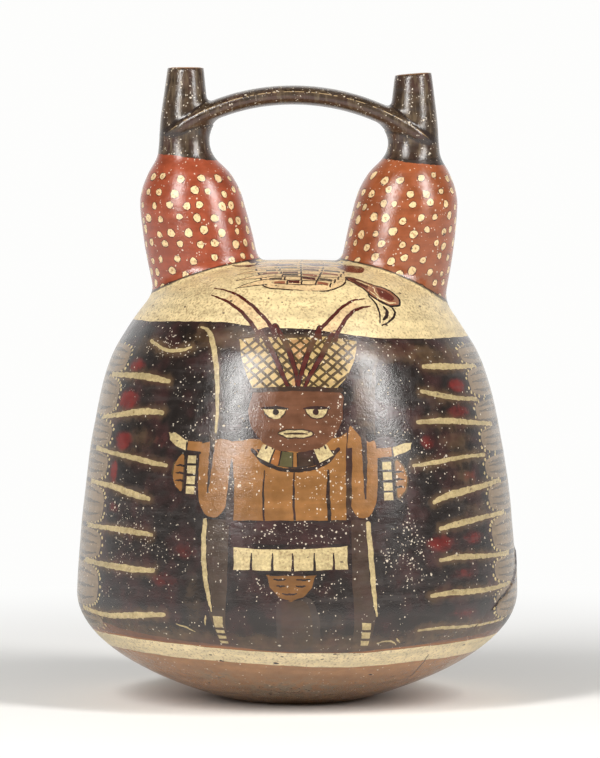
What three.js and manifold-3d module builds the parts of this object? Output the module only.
// A double-spout-and-bridge bottle of fired clay, built as one hollow piece: a round-bottomed jar whose domed
// shoulder carries two bulbous spouts, and a flat arched strap that joins their necks.
// Millimetres, +Z up. The origin is the centre of the worn flat spot that the bottle stands on. The strap runs
// along X, and the side with the main painted figure faces -Y.
import * as THREE from "three";
import { mergeVertices } from "three/addons/utils/BufferGeometryUtils.js";
import Module from "manifold-3d";

const wasm = await Module();
wasm.setup();

// ---- Driving dimensions ----

// The jar's outline: a shallow bowl, a heel at the widest place, a flank that leans in, and a dome.
const jar = {
  footRadius: 22,
  heelRadius: 75.7,
  heelHeight: 37,
  bowlRadius: 41.5, // where the bowl would be if it kept its first slope
  bowlRise: 4.7,
  heelBelow: 18.6, // how far the upright part of the heel pulls below and above its widest place
  heelAbove: 5,
  shoulderRadius: 61.1,
  shoulderHeight: 123,
  shoulderAngle: THREE.MathUtils.degToRad(57.3), // the shoulder's slope above the horizontal
  shoulderBelow: 19.9,
  shoulderAbove: 26.8,
  domeHeight: 151.3,
  domeFlat: 42.6, // how far from the axis the dome's level top pulls
  wall: 5,
};

// Heights, radii and inward leans of one spout: a bulb that narrows to an upright neck and a tapered mouth.
const spoutStations = [
  { height: 134, radius: 17.8, lean: 8.4 },
  { height: 148, radius: 18.9, lean: 6.8 },
  { height: 159, radius: 18.8, lean: 4.9 },
  { height: 170, radius: 17.9, lean: 2.9 },
  { height: 176, radius: 16.5, lean: 2.3 },
  { height: 181.5, radius: 13.8, lean: 1.7 },
  { height: 186.5, radius: 10.1, lean: 0.6 },
  { height: 191, radius: 8.8, lean: 0 },
  { height: 200, radius: 8.3, lean: 0 },
  { height: 210, radius: 7.2, lean: 0 },
  { height: 218, radius: 6.3, lean: 0 },
];
const bulbWall = 4.2;
const rimWall = 2.1;
const boreOvershoot = 3; // how far the bores run past the rims and into the jar's hollow

// The two spouts differ a little, as hand-made ones do.
const spouts = [
  { neckX: -38, top: 218, rimTilt: 0, leanShare: 1 },
  { neckX: 40.4, top: 215.8, rimTilt: 0.08, leanShare: 0.88 },
];

const strap = {
  topHeight: 211.4,
  outerRadius: 77, // of the arch's upper face
  thickness: 6.6,
  width: 19.6,
  endLength: 7.2, // the rounded end that is pressed round each neck
  endCut: 0.97, // where the rounded end stops, hidden in the neck's wall
  endThinning: 0.5, // how much of the thickness is smeared away at the very end
};

const segments = { jar: 60, hollow: 40, spout: 28, bore: 16, strapLength: 26, strapRound: 14 };
const steps = { bowl: 8, flank: 8, dome: 6, hollowBowl: 5, hollowFlank: 5, hollowDome: 4, spout: 14, bore: 9 };

// ---- Curves ----

function jarCurves() {
  const foot = new THREE.Vector2(jar.footRadius, 0);
  const heel = new THREE.Vector2(jar.heelRadius, jar.heelHeight);
  const shoulder = new THREE.Vector2(jar.shoulderRadius, jar.shoulderHeight);
  const top = new THREE.Vector2(0, jar.domeHeight);
  const slope = new THREE.Vector2(-Math.cos(jar.shoulderAngle), Math.sin(jar.shoulderAngle));
  const bowl = new THREE.CubicBezierCurve(
    foot,
    new THREE.Vector2(jar.bowlRadius, jar.bowlRise),
    new THREE.Vector2(jar.heelRadius, jar.heelHeight - jar.heelBelow),
    heel,
  );
  const flank = new THREE.CubicBezierCurve(
    heel,
    new THREE.Vector2(jar.heelRadius, jar.heelHeight + jar.heelAbove),
    shoulder.clone().addScaledVector(slope, -jar.shoulderBelow),
    shoulder,
  );
  const dome = new THREE.CubicBezierCurve(
    shoulder,
    shoulder.clone().addScaledVector(slope, jar.shoulderAbove),
    new THREE.Vector2(jar.domeFlat, jar.domeHeight),
    top,
  );
  return [bowl, flank, dome];
}

// The outline from the foot's centre to the dome's top, moved inwards by `inset` along its own normals.
function jarProfile(inset, counts) {
  const points = [new THREE.Vector2(0, inset)];
  jarCurves().forEach((curve, index) => {
    const first = index === 0 ? 0 : 1;
    for (let i = first; i <= counts[index]; i += 1) {
      const t = i / counts[index];
      const tangent = curve.getTangent(t);
      const inward = new THREE.Vector2(-tangent.y, tangent.x);
      points.push(curve.getPoint(t).addScaledVector(inward, inset));
    }
  });
  points[points.length - 1].x = 0;
  return points;
}

const spoutSpline = new THREE.CatmullRomCurve3(
  spoutStations.map(({ height, radius, lean }) => new THREE.Vector3(radius, height, lean)),
);

// A spout's outline from its base to its rim, thinned by a wall that tapers from the bulb to the rim.
// Each point holds the radius, the height and the inward lean.
function spoutProfile(inset, count) {
  return spoutSpline.getPoints(count).map((point, index) => {
    const share = index / count;
    const wall = inset * THREE.MathUtils.lerp(bulbWall, rimWall, share);
    return new THREE.Vector3(point.x - wall, point.y, point.z);
  });
}

// ---- Solids ----

function toSolid(geometry) {
  const bare = geometry.clone();
  bare.deleteAttribute("normal");
  bare.deleteAttribute("uv");
  const merged = mergeVertices(bare, 1e-3);
  const index = merged.index.array;
  const triangles = [];
  for (let i = 0; i < index.length; i += 3) {
    const [a, b, c] = [index[i], index[i + 1], index[i + 2]];
    if (a !== b && b !== c && c !== a) triangles.push(a, b, c);
  }
  return new wasm.Manifold(
    new wasm.Mesh({
      numProp: 3,
      vertProperties: merged.attributes.position.array,
      triVerts: new Uint32Array(triangles),
    }),
  );
}

// A closed solid of revolution about Z. The profile runs upwards and starts and ends on the axis.
function turned(profile, count) {
  return new THREE.LatheGeometry(profile, count).rotateX(Math.PI / 2);
}

function moveVertices(geometry, move) {
  const position = geometry.attributes.position;
  const point = new THREE.Vector3();
  for (let i = 0; i < position.count; i += 1) {
    move(point.fromBufferAttribute(position, i));
    position.setXYZ(i, point.x, point.y, point.z);
  }
  return geometry;
}

// The lean towards the jar's axis at a height, read off the spout's own profile.
function leanAt(profile, height) {
  const above = profile.findIndex((point) => point.y >= height);
  if (above < 0) return 0;
  if (above === 0) return profile[0].z;
  const [low, high] = [profile[above - 1], profile[above]];
  return THREE.MathUtils.mapLinear(height, low.y, high.y, low.z, high.z);
}

function spoutShape(spout, profile, count, overshoot) {
  const side = Math.sign(spout.neckX);
  const lowest = profile[0];
  const highest = profile[profile.length - 1];
  const outline = [
    new THREE.Vector2(0, lowest.y - overshoot),
    new THREE.Vector2(lowest.x, lowest.y - overshoot),
    ...profile.map((point) => new THREE.Vector2(point.x, point.y)),
    new THREE.Vector2(highest.x, highest.y + overshoot),
    new THREE.Vector2(0, highest.y + overshoot),
  ];
  const neck = profile.find((point) => point.z < 1e-3);
  return moveVertices(turned(outline, count), (point) => {
    const rise = THREE.MathUtils.clamp((point.z - neck.y) / (highest.y - neck.y), 0, 1);
    const lean = spout.leanShare * leanAt(profile, point.z);
    point.z += rise * (spout.top - highest.y + spout.rimTilt * point.x);
    point.x += spout.neckX - side * lean;
  });
}

// The strap: a flattened tube along an arch, with ends that narrow to a round tip behind each neck.
function strapShape() {
  const middleX = (spouts[0].neckX + spouts[1].neckX) / 2;
  const neckReach = (spouts[1].neckX - spouts[0].neckX) / 2;
  const centreHeight = strap.topHeight - strap.outerRadius;
  const radius = strap.outerRadius - strap.thickness / 2;
  const reach = neckReach + strap.endLength * strap.endCut;
  const tube = new THREE.CylinderGeometry(1, 1, 2, segments.strapRound, segments.strapLength);
  return moveVertices(tube, (point) => {
    const along = point.y * reach;
    const past = Math.max(0, Math.abs(along) - neckReach) / strap.endLength;
    const halfWidth = (strap.width / 2) * Math.sqrt(1 - past * past);
    const angle = Math.asin(along / radius);
    const distance = radius + (point.x * strap.thickness * (1 - strap.endThinning * past * past)) / 2;
    const across = point.z * halfWidth;
    point.set(middleX + distance * Math.sin(angle), across, centreHeight + distance * Math.cos(angle));
  });
}

function buildVessel() {
  const outside = toSolid(turned(jarProfile(0, [steps.bowl, steps.flank, steps.dome]), segments.jar));
  const hollowCounts = [steps.hollowBowl, steps.hollowFlank, steps.hollowDome];
  const hollow = toSolid(turned(jarProfile(jar.wall, hollowCounts), segments.hollow));
  let solid = outside.add(toSolid(strapShape()));
  for (const spout of spouts) {
    solid = solid.add(toSolid(spoutShape(spout, spoutProfile(0, steps.spout), segments.spout, 0)));
  }
  solid = solid.subtract(hollow);
  for (const spout of spouts) {
    const bore = spoutShape(spout, spoutProfile(1, steps.bore), segments.bore, boreOvershoot);
    solid = solid.subtract(toSolid(bore));
  }
  return solid;
}

function toGeometry(solid) {
  const { numProp, numVert, vertProperties, triVerts } = solid.getMesh();
  const positions = new Float32Array(numVert * 3);
  for (let i = 0; i < numVert; i += 1) {
    positions.set(vertProperties.subarray(i * numProp, i * numProp + 3), i * 3);
  }
  const geometry = new THREE.BufferGeometry();
  geometry.setAttribute("position", new THREE.BufferAttribute(positions, 3));
  geometry.setIndex(new THREE.BufferAttribute(triVerts, 1));
  geometry.computeVertexNormals();
  return geometry;
}

// ---- The part ----

const slipPaintedClay = new THREE.MeshStandardMaterial({
  color: 0x5a4436,
  roughness: 0.4,
  metalness: 0,
});

const vessel = new THREE.Mesh(toGeometry(buildVessel()), slipPaintedClay);
vessel.name = "vessel";

const bottle = new THREE.Group();
bottle.add(vessel);

export default bottle;
